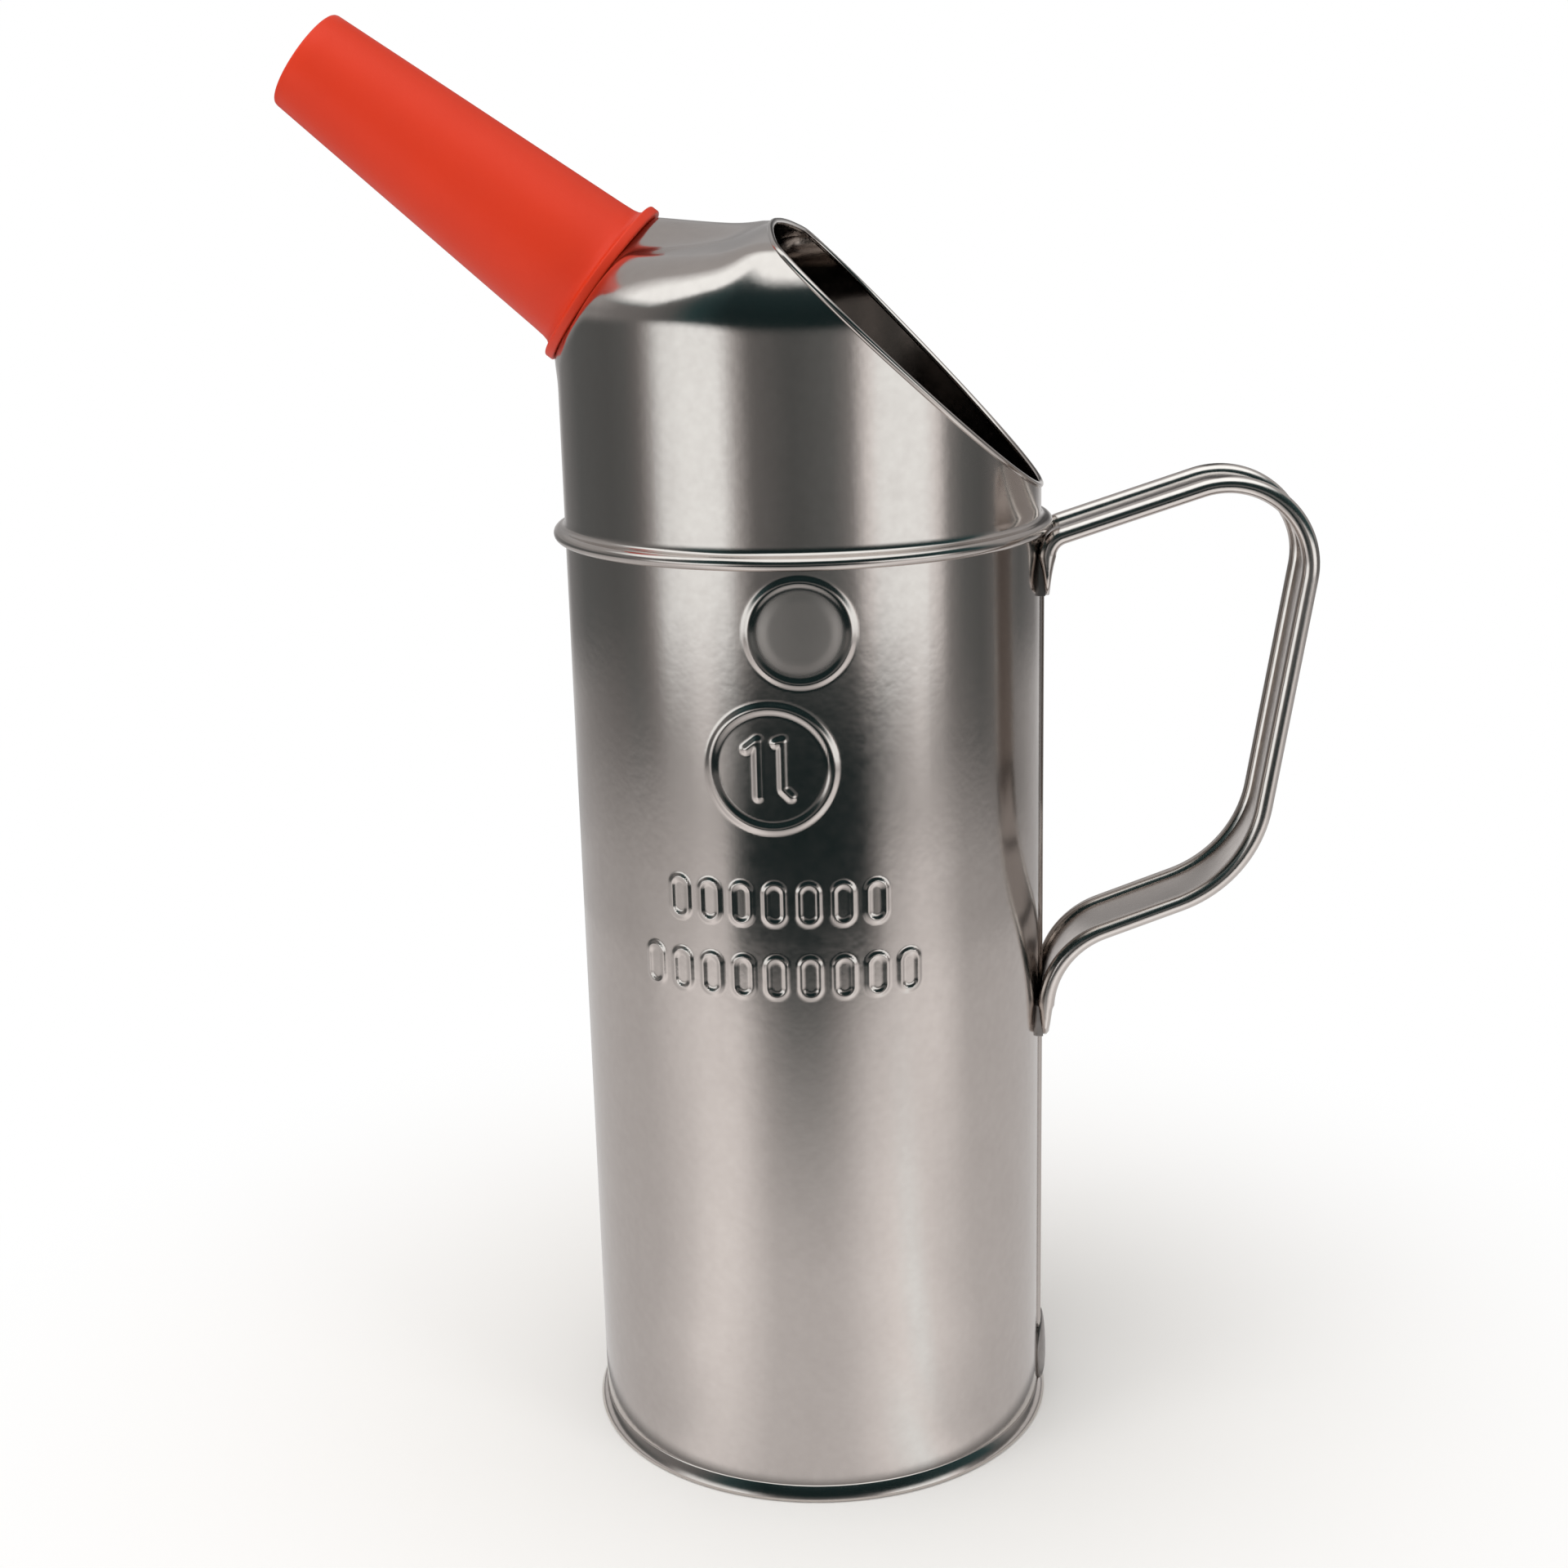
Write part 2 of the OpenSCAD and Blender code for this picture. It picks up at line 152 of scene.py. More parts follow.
def makeTinplate(name, relief, base="#C6BFBA", deep="#B9B1AC", gloss=0.13):
    # bright electrolytic tinplate: rolled steel strip with a thin flowed tin coat,
    # a clear but soft mirror with a satin mottle and very faint rolling lines; relief is in m
    material, tree, place = newMaterial(name)
    along = addNode(tree, "ShaderNodeMapping", {"Scale": tin["lines"], "Vector": place})
    lines = addNoise(tree, along.outputs[0], 1.0, 2.0)
    mottle = addNoise(tree, place, tin["mottle"], 1.5)
    clouds = addNoise(tree, place, tin["clouds"], 3.0)
    stain = addMath(tree, "MULTIPLY_ADD", mottle, 0.5, addMath(tree, "MULTIPLY", clouds, 0.5))
    tint = addMix(tree, stain, colour(base), colour(deep))
    below, above = tin["spread"]
    blur = addRange(tree, stain, *tin["stain"], gloss - below, gloss + above)
    # satin where a piece carries the frost attribute
    frost = addNode(tree, "ShaderNodeAttribute", {"attribute_name": "frost"}).outputs["Fac"]
    dull = addMath(tree, "MULTIPLY_ADD", frost, tin["frost"], blur)
    height = addMath(tree, "MULTIPLY_ADD", lines, tin["lineRelief"], mottle)
    bump = addBump(tree, height, 0.5, relief)
    finishSolid(tree, {"Metallic": 1.0, "Base Color": tint, "Roughness": dull, "Normal": bump})
    return material


def makeSolder():
    # soft tin solder: duller and a little darker than the plate, with a pulled skin
    material, tree, place = newMaterial("softSolder")
    skin = addNoise(tree, place, 700.0, 5.0)
    tint = addMix(tree, skin, colour("#A39E9B"), colour("#837E7B"))
    blur = addRange(tree, skin, 0.0, 1.0, 0.22, 0.42)
    bump = addBump(tree, skin, 0.5, 0.00004)
    finishSolid(tree, {"Metallic": 1.0, "Base Color": tint, "Roughness": blur, "Normal": bump})
    return material


def makeRedPlastic():
    # injection moulded polyethylene: waxy, half glossy, a little uneven in colour
    material, tree, place = newMaterial("redPolyethylene")
    flow = addNoise(tree, place, 60.0, 3.0)
    pores = addNoise(tree, place, 2200.0, 2.0)
    tint = addMix(tree, flow, colour("#D8340D"), colour("#CE2F0B"))
    blur = addRange(tree, flow, 0.0, 1.0, 0.36, 0.5)
    bump = addBump(tree, pores, 0.25, 0.0001)
    finishSolid(tree, {"IOR": 1.51, "Specular IOR Level": 0.3, "Subsurface Weight": 0.08,
                       "Subsurface Radius": (0.004, 0.001, 0.0005), "Subsurface Scale": 0.4,
                       "Base Color": tint, "Roughness": blur, "Normal": bump})
    return material


def makeCompound():
    # can sealing compound: a dull black rubber
    material, tree, place = newMaterial("sealingCompound")
    grain = addNoise(tree, place, 1500.0, 3.0)
    tint = addMix(tree, grain, colour("#2A2A2A"), colour("#1C1C1C"))
    bump = addBump(tree, grain, 0.4, 0.0001)
    finishSolid(tree, {"Roughness": 0.7, "Base Color": tint, "Normal": bump})
    return material


tinplate = makeTinplate("brightTinplate", 0.00002)
# the handle's strip is a lighter and duller copy of the plate; its lighter colour is painted light that
# brightens the handle
litStripTin = makeTinplate("handleTinplateLit", 0.000025, base="#D6CFCA", deep="#C8C0BB", gloss=0.16)
solder = makeSolder()
redPlastic = makeRedPlastic()
compound = makeCompound()
print("materials made")


# helpers for pieces

def newObject(name, shape):
    mesh = bpy.data.meshes.new(name)
    shape.to_mesh(mesh)
    shape.free()
    thing = bpy.data.objects.new(name, mesh)
    bpy.context.scene.collection.objects.link(thing)
    return thing


def makePiece(name, shape, material, body, nodes, crease=35):
    piece = newObject(name, shape)
    piece.data.shade_smooth()
    piece.data.set_sharp_from_angle(angle=radians(crease))
    piece.data.materials.append(material)
    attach(piece, body)
    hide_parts(*nodes)
    return piece


def wireOf(shape, points, closed=False):
    # a chain of edges through (radius, height) points
    dots = [shape.verts.new((r * mm, 0, z * mm)) for r, z in points]
    pairs = list(zip(dots, dots[1:])) + ([(dots[-1], dots[0])] if closed else [])
    return dots + [shape.edges.new(pair) for pair in pairs]


def spinWire(points, parts, start=0, closed=False):
    # parts are (degrees, steps) one after another; start is measured from +X
    shape = bmesh.new()
    geometry = wireOf(shape, points, closed)
    turned = Matrix.Rotation(radians(start), 3, "Z")
    bmesh.ops.rotate(shape, verts=shape.verts, cent=(0, 0, 0), matrix=turned)
    whole = len(parts) == 1 and parts[0][0] == 360
    for angle, count in parts:
        swept = bmesh.ops.spin(shape, geom=geometry, cent=(0, 0, 0), axis=(0, 0, 1), angle=radians(angle),
                               steps=count, use_merge=whole, use_normal_flip=False, use_duplicate=False)
        geometry = swept["geom_last"]
    bmesh.ops.remove_doubles(shape, verts=shape.verts, dist=0.002 * mm)
    bmesh.ops.recalc_face_normals(shape, faces=shape.faces)
    return shape


def arc(centre, radius, fromAngle, toAngle, count):
    turns = [radians(fromAngle + (toAngle - fromAngle) * i / count) for i in range(count + 1)]
    return [(centre[0] + radius * cos(a), centre[1] + radius * sin(a)) for a in turns]


def steps(low, high, pitch):
    count = max(1, round((high - low) / pitch))
    return [low + (high - low) * i / count for i in range(count + 1)]


def readPoints(shape):
    return np.array([v.co for v in shape.verts]) / mm


def writePoints(shape, points):
    for vert, point in zip(shape.verts, points):
        vert.co = point * mm


# body wall

wall = {
    "radius": 44.0,
    "sheet": 0.4,
    "foot": 0.8,
    "footFlange": 0.6,
    "start": 3.0,  # the plain wall starts here
    "top": 177.4,
    "topFlange": 1.4,
    "pitch": 8,  # between its rings below the marks
    "inside": (140, 90, 40),  # heights of the rings on its inner face
    "seamWidth": 6.0,
    "seamRise": 0.6,
    "seamEdge": 0.45,
    "seamFade": 3.0,  # the seam rises out of the wall over this height
    "seamSpan": 6.0,  # to each side of the seam the wall is finely divided
    "divisions": (17, 28, 76),  # from the marks to the seam, over the seam, and on round to the marks
}

marks = {
    "low": 97.0,  # between these heights the wall is finely divided
    "high": 176.0,
    "left": -42,  # and between these turns from the front; toward the handle is positive
    "right": 33,
    "pitch": 0.33,
    "rise": 0.4,
    "line": 1.25,  # width of a rounded line
    "lineRise": 0.8,  # its share of the rise
    "ring": (-4.3, 141.9, 10.75),  # turn, height and radius
    "ringLine": (0.72, 1.1),  # half its width, and the width of its soft sides
    # a plain litre mark: numeral one and its unit stroke, from the ring's middle
    "strokes": (((-2.3, -5.0), (-2.3, 5.0)), ((-2.3, 5.0), (-4.3, 3.4)),
                ((2.0, -3.6), (2.0, 5.0)), ((2.0, 5.0), (0.9, 4.6)), ((2.0, -3.6), (3.4, -5.0))),
    "strokeLine": (0.62, 1.0),
    "medallion": (2.8, 165.6, 8.8),
    "disc": (2.6, 2.2, 0.4),  # inset from the medallion's ring, soft side and share of the rise
    "satin": (1.4, 1.0),  # inset from the same ring, and soft side
    "rows": ((117.5, 7), (103.9, 9)),  # height, and number of links
    "linkPitch": 6.0,
    "linkHeight": 8.4,
    "linkWidth": 4.6,
    "linkLine": 0.6,  # share of a rounded line's width
}


def ridge(distance, width, rise):
    # a rounded ridge along distance = 0
    inside = np.clip(np.abs(distance) / width, 0, 1)
    return rise * np.cos(inside * pi / 2) ** 2


def strokeDistance(u, v, a, b):
    # distance to the straight stroke from a to b
    along, across = b[0] - a[0], b[1] - a[1]
    t = np.clip(((u - a[0]) * along + (v - a[1]) * across) / (along ** 2 + across ** 2), 0, 1)
    return np.hypot(u - a[0] - t * along, v - a[1] - t * across)


def plateau(distance, half, edge, rise):
    # flat-topped stroke with soft sides
    t = np.clip((half + edge / 2 - distance) / edge, 0, 1)
    return rise * t * t * (3 - 2 * t)


def pressedMarks(turn, height):
    # rise of the plate; turn in radians from the front
    radius, rise, line = wall["radius"], marks["rise"], marks["line"]
    lineRise = rise * marks["lineRise"]
    around = turn * radius
    ringTurn, ringHeight, ringRadius = marks["ring"]
    u, v = around - radians(ringTurn) * radius, height - ringHeight
    lift = plateau(np.abs(np.hypot(u, v) - ringRadius), *marks["ringLine"], rise)
    for a, b in marks["strokes"]:
        lift = np.maximum(lift, plateau(strokeDistance(u, v, a, b), *marks["strokeLine"], rise))
    medalTurn, medalHeight, medalRadius = marks["medallion"]
    out = np.hypot(around - radians(medalTurn) * radius, height - medalHeight)
    lift = np.maximum(lift, ridge(out - medalRadius, line, lineRise))
    inset, edge, share = marks["disc"]
    lift = np.maximum(lift, plateau(out, medalRadius - inset, edge, rise * share))
    half = (marks["linkHeight"] - marks["linkWidth"]) / 2
    inset = (marks["linkWidth"] - line) / 2
    for rowHeight, count in marks["rows"]:
        for i in range(count):
            centre = radians(ringTurn) * radius + (i - (count - 1) / 2) * marks["linkPitch"]
            d = strokeDistance(around - centre, height - rowHeight, (0, -half), (0, half))
            lift = np.maximum(lift, ridge(d - inset, line * marks["linkLine"], lineRise))
    return lift


def makeBodyWall():
    radius, sheet, foot, top = wall["radius"], wall["sheet"], wall["foot"], wall["top"]
    inner, seam = radius - sheet, wall["seamSpan"]
    footOut, topOut = radius + wall["footFlange"], radius + wall["topFlange"]
    levels = steps(wall["start"], marks["low"], wall["pitch"])
    levels += steps(marks["low"], marks["high"], marks["pitch"])[1:] + [top]
    points = [(inner, foot), (footOut, foot), (footOut, foot + sheet), (radius, foot + sheet)]
    points += [(radius, z) for z in levels]
    points += [(topOut, top), (topOut, top + sheet), (inner, top + sheet)]
    points += [(inner, z) for z in wall["inside"]]
    front = marks["right"] - marks["left"]
    toSeam, overSeam, back = wall["divisions"]
    parts = [(front, round(radians(front) * radius / marks["pitch"])), (90 - seam - marks["right"], toSeam),
             (2 * seam, overSeam), (270 + marks["left"] - seam, back)]
    shape = spinWire(points, parts, start=marks["left"] - 90, closed=True)
    spots = readPoints(shape)
    flat = np.hypot(spots[:, 0], spots[:, 1])
    turn = np.arctan2(spots[:, 0], -spots[:, 1])
    height = spots[:, 2]
    outside = (np.abs(flat - radius) < 0.01) & (height > wall["start"] - 1)
    strip = plateau(np.abs(spots[:, 1]), wall["seamWidth"] / 2, wall["seamEdge"], wall["seamRise"])
    strip = strip * np.clip((height - wall["start"]) / wall["seamFade"], 0, 1)
    lift = np.maximum(pressedMarks(turn, height), np.where(spots[:, 0] > 0, strip, 0))
    lift = np.where(outside, lift, 0)
    spots[:, :2] *= ((flat + lift) / np.maximum(flat, 1e-6))[:, None]
    writePoints(shape, spots)
    # the disc between the ring and the joint is satin
    medalTurn, medalHeight, medalRadius = marks["medallion"]
    inset, edge = marks["satin"]
    out = np.hypot((turn - radians(medalTurn)) * radius, height - medalHeight)
    satin = np.where(outside, plateau(out, medalRadius - inset, edge, 1.0), 0)
    piece = makePiece("bodyWall", shape, tinplate, "can", ["body_shell"], crease=60)
    frost = piece.data.attributes.new("frost", "FLOAT", "POINT")
    frost.data.foreach_set("value", satin.astype(np.float32))
    return piece


makeBodyWall()
print("body wall made")


# base with its double seam

base = {
    "outer": 45.35,
    "inside": 43.2,  # radius within the seam
    "panel": 3.0,
    "step": (31.0, 1.0),  # radius and height
    "stepSoft": 0.25,
    "sheet": 0.4,
    "bulge": 0.6,  # radius of the rounding at its foot
    "face": 7.2,  # radius of the seam's face above that
    "lean": (19, 38),  # how far the face leans in at its foot and its top
    "round": 0.35,  # radius of the seam's top edge
    "within": (0.2, 0.38),  # the seam's top and the panel end so deep in the body's wall
    "divisions": 240,
}


def panelLine(height):
    # the panel from its middle to just beyond its step
    radius, rise = base["step"]
    soft = base["stepSoft"]
    return [(0, height + rise), (radius - 1, height + rise), (radius, height + rise - soft),
            (radius + 1, height + soft), (radius + 2, height)]


def makeBaseRim():
    outer, inside, panel, bulge = base["outer"], base["inside"], base["panel"], base["bulge"]
    face, (low, lean), rounding = base["face"], base["lean"], base["round"]
    points = panelLine(panel) + [(inside - 1, panel)]
    points += arc((inside - 1, panel - 1), 1, 90, 0, 6)[1:]
    points += arc((inside + 0.5, 0.5), 0.5, 180, 270, 6)
    points += arc((outer - bulge, bulge), bulge, -90, low, 10)
    back = face - bulge
    centre = (outer - bulge - back * cos(radians(low)), bulge - back * sin(radians(low)))
    points += arc(centre, face, low, lean, 12)[1:]
    edge = (points[-1][0] - rounding * cos(radians(lean)), points[-1][1] - rounding * sin(radians(lean)))
    points += arc(edge, rounding, lean, 90, 6)[1:]
    topIn, panelIn = base["within"]
    points += [(wall["radius"] - topIn, edge[1]), (wall["radius"] - panelIn, panel + base["sheet"])]
    points += panelLine(panel + base["sheet"])[::-1]
    shape = spinWire(points, [(360, base["divisions"])])
    return makePiece("baseRim", shape, tinplate, "can", ["base_disc"], crease=50)


makeBaseRim()
print("base made")


# hood

hood = {
    "radius": 44.0,
    "sheet": 0.4,
    "wallTop": (216.6, 214.8),  # beside the spout and beside the mouth
    "shoulder": ((12.6, 11.2), (9.9, 13.5)),  # how wide and how high the rounding is, in these two places
    "change": (-18.0, -2.0),  # x from the one to the other
    "crest": (1.5, -12.5, -2.6),  # the dome rises by so much toward the mouth, from this x to that
    "domeSlope": 8.5,
    "bead": (177.6, 46.14, 1.2),  # height, outer radius, half height
    "mouth": 228.8,  # x + z on the mouth's plane
    "hem": 0.6,  # radius
    "hemPlace": (0.1, 0.42),  # how far out from the edge, and how far below it
    "hemPoints": 320,
    "blend": 3.0,  # softness between the dome and the seat's cone
    "seatEdge": 0.4,
    "seatRound": 1.8,
    "first": (13.0, 215.6),  # radius and foot of the plain rounding that the points are laid on first
    "divisions": (26, 52),  # over that rounding and over the dome
    "around": 400,
    "wallPitch": 1.2,
    "free": 190.0,  # points above this height are moved to the true surface
    "centre": (0.0, 0.0, 186.0),  # along rays from here
    "search": (16, 30),  # so far to each side of where they were, halved so many times
}

seat = {
    "centre": (-34.9, 0.0, 221.25),
    "tilt": 38.0,
    "face": 15.3,  # radius
    "depth": 12.3,  # the cone under the face, and its radius at that depth
    "deepRadius": 22.0,
    "grow": 1.3,  # it widens on to this many times that depth
    "side": 0.875,  # cosine of the cone's side
    "shift": 1.0,  # its centre moves up by so much
    "step": 0.6,
    "neck": 10.4,
    "hole": (1.5, 2.0, 3.0),  # how deep it is cut, and how deep and how far out its rim is looked for
}

seatAxis = Vector((-cos(radians(seat["tilt"])), 0, sin(radians(seat["tilt"]))))
seatUp = Vector((sin(radians(seat["tilt"])), 0, cos(radians(seat["tilt"]))))


def softMin(a, b, k):
    h = np.clip(0.5 + 0.5 * (b - a) / k, 0, 1)
    return b + (a - b) * h - k * h * (1 - h)


def softMax(a, b, k):
    return -softMin(-a, -b, k)


def seatPlace(p):
    # how far out along the spout, and how far up and across the seat's face
    d = p - np.array(seat["centre"])
    return d @ np.array(seatAxis), d @ np.array(seatUp), d[:, 1]


def easeBetween(value, low, high):
    part = np.clip((value - low) / (high - low), 0, 1)
    return part * part * (3 - 2 * part)


def hoodDistance(p):
    # below zero inside the hood's outer surface
    flat, z = np.hypot(p[:, 0], p[:, 1]), p[:, 2]
    part = easeBetween(p[:, 0], *hood["change"])
    top, (wide, tall) = hood["wallTop"], zip(*hood["shoulder"])
    rise = z - top[0] - (top[1] - top[0]) * part
    wide, tall = wide[0] + (wide[1] - wide[0]) * part, tall[0] + (tall[1] - tall[0]) * part
    crest, fromX, toX = hood["crest"]
    rise = rise - crest * easeBetween(p[:, 0], fromX, toX) * np.clip(rise / tall, 0, 1) ** 2
    bend = hood["radius"] - wide
    slope = radians(hood["domeSlope"])
    # the dome is a sphere that touches the rounding where both have the same slope
    touch = np.arctan(tall / wide / tan(slope))
    domeRadius = (bend + wide * np.cos(touch)) / sin(slope)
    drop = domeRadius * cos(slope) - tall * np.sin(touch)
    crown = np.hypot(flat, rise + drop) - domeRadius
    corner = (np.hypot((flat - bend) / wide, rise / tall) - 1) * np.minimum(wide, tall)
    cap = np.where(flat < (rise + drop) * tan(slope), crown, corner)
    dome = np.where(rise < 0, flat - hood["radius"], cap)
    out, up, across = seatPlace(p)
    part = np.minimum(-out / seat["depth"], seat["grow"])
    coneRadius = seat["face"] + (seat["deepRadius"] - seat["face"]) * part
    cone = (np.hypot(up - seat["shift"] * part, across) - coneRadius) * seat["side"]
    cone = np.maximum(cone, flat - hood["radius"])
    cone = softMax(cone, out, hood["seatEdge"])
    cone = np.maximum(cone, -out - 2 * seat["depth"])
    body = softMax(dome, out + seat["step"], hood["seatRound"])
    # nothing stands above the seat's face
    return np.maximum(softMin(body, cone, hood["blend"]), out)


def settleOnHood(points):
    # moves points along rays from the hood's centre onto its surface
    centre = np.array(hood["centre"])
    side, halvings = hood["search"]
    rays = points - centre
    reach = np.linalg.norm(rays, axis=1)
    rays /= reach[:, None]
    low, high = reach - side, reach + side
    for _ in range(halvings):
        middle = (low + high) / 2
        outside = hoodDistance(centre + rays * middle[:, None]) > 0
        high = np.where(outside, middle, high)
        low = np.where(outside, low, middle)
    return centre + rays * ((low + high) / 2)[:, None]


def hoodLine():
    # bead, wall, rounding and dome, from the foot to the top
    radius, (rounding, top), slope = hood["radius"], hood["first"], hood["domeSlope"]
    height, lip, half = hood["bead"]
    overRounding, overDome = hood["divisions"]
    bend = radius - rounding
    domeRadius = bend / sin(radians(slope)) + rounding
    domeCentre = (0, top - bend / tan(radians(slope)))
    over = height + half
    points = [(radius + 0.05, height - half + 0.1), (radius + 0.5, height - half)]
    points += arc((lip - half, height), half, -90, 90, 14)
    points += [(radius + 0.6, over + 0.05), (radius + 0.2, over + 0.3), (radius, over + 0.8)]
    points += [(radius, z) for z in steps(over + 2, top - 1, hood["wallPitch"])]
    points += arc((bend, top), rounding, 0, 90 - slope, overRounding)
    points += arc(domeCentre, domeRadius, 90 - slope, 90, overDome)[1:-1]
    return points + [(0, domeCentre[1] + domeRadius)]


def cutNeckHole(shape):
    cutDepth, rimDepth, rimReach = seat["hole"]
    out, up, across = seatPlace(readPoints(shape))
    inHole = (out > -cutDepth) & (np.hypot(up, across) < seat["neck"])
    shape.verts.ensure_lookup_table()
    gone = [shape.verts[i] for i in np.nonzero(inHole)[0]]
    bmesh.ops.delete(shape, geom=gone, context="VERTS")
    # its rim is drawn in to a true circle on the seat's face
    for vert in [v for v in shape.verts if v.is_boundary]:
        p = np.array(vert.co)[None] / mm
        out, up, across = (float(a[0]) for a in seatPlace(p))
        reach = hypot(up, across)
        if reach < seat["neck"] + rimReach and out > -rimDepth:
            k = seat["neck"] / reach
            vert.co = (Vector(seat["centre"]) + seatUp * up * k + Vector((0, across * k, 0))) * mm


def makeHood():
    shape = spinWire(hoodLine(), [(360, hood["around"])])
    spots = readPoints(shape)
    free = spots[:, 2] > hood["free"]
    spots[free] = settleOnHood(spots[free])
    writePoints(shape, spots)
    # the mouth
    normal = Vector((1, 0, 1)).normalized()
    bmesh.ops.bisect_plane(shape, geom=shape.verts[:] + shape.edges[:] + shape.faces[:], dist=0.001 * mm,
                           plane_co=(hood["mouth"] * mm, 0, 0), plane_no=normal, clear_outer=True)
    cutNeckHole(shape)
    bmesh.ops.recalc_face_normals(shape, faces=shape.faces)
    edge = [v.co.copy() / mm for v in shape.verts
            if v.is_boundary and abs(v.co.x + v.co.z - hood["mouth"] * mm) < 0.01 * mm]
    bmesh.ops.solidify(shape, geom=shape.faces[:], thickness=hood["sheet"] * mm)
    makePiece("hoodSkin", shape, tinplate, "can", ["hood_shell"], crease=50)
    return edge


def makeHem(edge):
    # the rolled hem round the mouth: a tube along the cut edge
    centre = sum(edge, Vector()) / len(edge)
    inPlane = Vector((1, 0, -1)).normalized()
    around = sorted(edge, key=lambda p: atan2((p - centre).y, (p - centre).dot(inPlane)))
    out, below = hood["hemPlace"]
    sunk = Vector((below, 0, below)) / sqrt(2)
    loop = np.array([tuple(p + (p - centre).normalized() * out - sunk) for p in around])
    loop = np.vstack([loop, loop[:1]])
    walked = np.concatenate([[0], np.cumsum(np.linalg.norm(np.diff(loop, axis=0), axis=1))])
    at = np.linspace(0, walked[-1], hood["hemPoints"], endpoint=False)
    even = np.stack([np.interp(at, walked, loop[:, i]) for i in range(3)], 1)
    line = bpy.data.curves.new("mouthHem", "CURVE")
    line.dimensions = "3D"
    line.bevel_depth = hood["hem"] * mm
    line.bevel_resolution = 5
    spline = line.splines.new("POLY")
    spline.points.add(hood["hemPoints"] - 1)
    for dot, p in zip(spline.points, even):
        dot.co = (*(p * mm), 1)
    spline.use_cyclic_u = True
    path = bpy.data.objects.new("mouthHemLine", line)
    bpy.context.scene.collection.objects.link(path)
    bpy.context.view_layer.update()
    shape = bmesh.new()
    shape.from_mesh(path.to_mesh())
    path.to_mesh_clear()
    bpy.data.objects.remove(path)
    bmesh.ops.recalc_face_normals(shape, faces=shape.faces)
    return makePiece("mouthHem", shape, tinplate, "can", ["hood_shell"])


makeHem(makeHood())
print("hood made")


# spout

spout = {
    "length": 66.6,
    "flange": 16.45,
    "flangeThick": 1.9,
    "flangeRounds": (0.4, 0.5),  # radius of its lower and its upper edge
    "flangeFall": (1.1, 0.02),  # so far in from its edge it lies so much lower
    "fillet": ((0.9, 0.35), (0.45, 1.0), (0.2, 2.0)),  # out from the root, and up from the flange
    "root": 13.75,
    "rootHeight": 6,
    "tip": 9.6,
    "tipRounds": (0.6, 0.4),  # outside and inside
    "wall": 1.8,
    "land": 9.0,  # length of the straight bore at the tip
    "bore": 10.48,
    "boreLength": 22.6,
    "lead": 0.3,  # chamfer of the bore
    "pitch": 2.5,
    "divisions": 160,
}


def inSeat(shape):
    # turns a shape made along Z into the spout's place
    turned = Matrix((seatUp, (0, 1, 0), seatAxis)).transposed().to_4x4()
    place = Matrix.Translation(Vector(seat["centre"]) * mm) @ turned
    bmesh.ops.transform(shape, matrix=place, verts=shape.verts)


def makeSpout():
    length, wide, thick = spout["length"], spout["flange"], spout["flangeThick"]
    root, start, tip, bore = spout["root"], spout["rootHeight"], spout["tip"], spout["bore"]
    tipBore, lead = tip - spout["wall"], spout["lead"]
    under, over = spout["flangeRounds"]
    fallIn, fall = spout["flangeFall"]
    outer, inner = spout["tipRounds"]
    slope = (tip - root) / (length - start)
    points = [(bore, lead), (bore + lead, 0), (wide - under, 0)]
    points += arc((wide - under, under), under, -90, 0, 4)[1:]
    points += arc((wide - over, thick - over), over, 0, 90, 5)
    points += [(wide - fallIn, thick - fall)]
    points += [(root + away, thick + up) for away, up in spout["fillet"]]
    points += [(root + slope * (z - start), z) for z in steps(start, length - outer - 0.1, spout["pitch"])]
    points += arc((tip - outer, length - outer), outer, 0, 90, 5)
    points += arc((tipBore + inner, length - inner), inner, 90, 180, 4)
    points += [(tipBore, length - spout["land"]), (bore, spout["boreLength"])]
    shape = spinWire(points, [(360, spout["divisions"])], closed=True)
    inSeat(shape)
    return makePiece("pouringSpout", shape, redPlastic, "pouring_spout", ["spout"],
                     crease=60)


makeSpout()
print("spout made")


# handle

strap = {
    "x": 44.95,
    "top": 175.0,  # heights where the two arms would meet the can
    "lowRoot": 96.4,
    "width": 20.0,
    "thick": 0.7,
    "roll": 1.6,
    "rollSteps": 22,
    "shift": 0.1,  # the rolls stand so much to the outside of the handle
    "crown": 0.25,
    "reach": 95.6,  # x of the grip's top
    "topSlope": 18.1,
    "lean": 9.1,
    "armSlope": 21.4,
    "bends": (4.0, 14.9, 24.0, 17.0),  # radii, from the upper tab to the lower one
    "pitch": (1.3, 1.5),  # across the strip and along it
    "bendPitch": 3,
    "tabs": (7.5, 6.2),  # lengths of the upper and the lower tab
    "tabThin": ((0.3, 0.7, 2), (0.3, 0.5, 1)),  # share of its thickness at the end, gain and power
    "tabRound": 4.0,
    "tabReach": 4.0,  # a tab is no further than this from the can
}


def crownAt(y, edge):
    return strap["crown"] * (1 - (y / edge) ** 2)


def strapOutline():
    # closed outline: first number toward the outside of the handle, second across its width
    roll, shift, half = strap["roll"], strap["shift"], strap["thick"] / 2
    pitch, edge = strap["pitch"][0], strap["width"] / 2 - roll
    inner = degrees(atan2(-sqrt(roll ** 2 - (half + shift) ** 2), -(half + shift)))
    outer = degrees(atan2(-sqrt(roll ** 2 - (half - shift) ** 2), half - shift))
    right = arc((shift, edge), roll, inner + 360, outer, strap["rollSteps"])
    left = [(x, -y) for x, y in reversed(right)]
    span, backSpan = abs(right[0][1]), abs(right[-1][1])
    front = [(-half + crownAt(y, edge), y) for y in steps(-span, span, pitch)[1:-1]]
    back = [(half + crownAt(y, edge), -y) for y in steps(-backSpan, backSpan, pitch)[1:-1]]
    return front + right + back + left


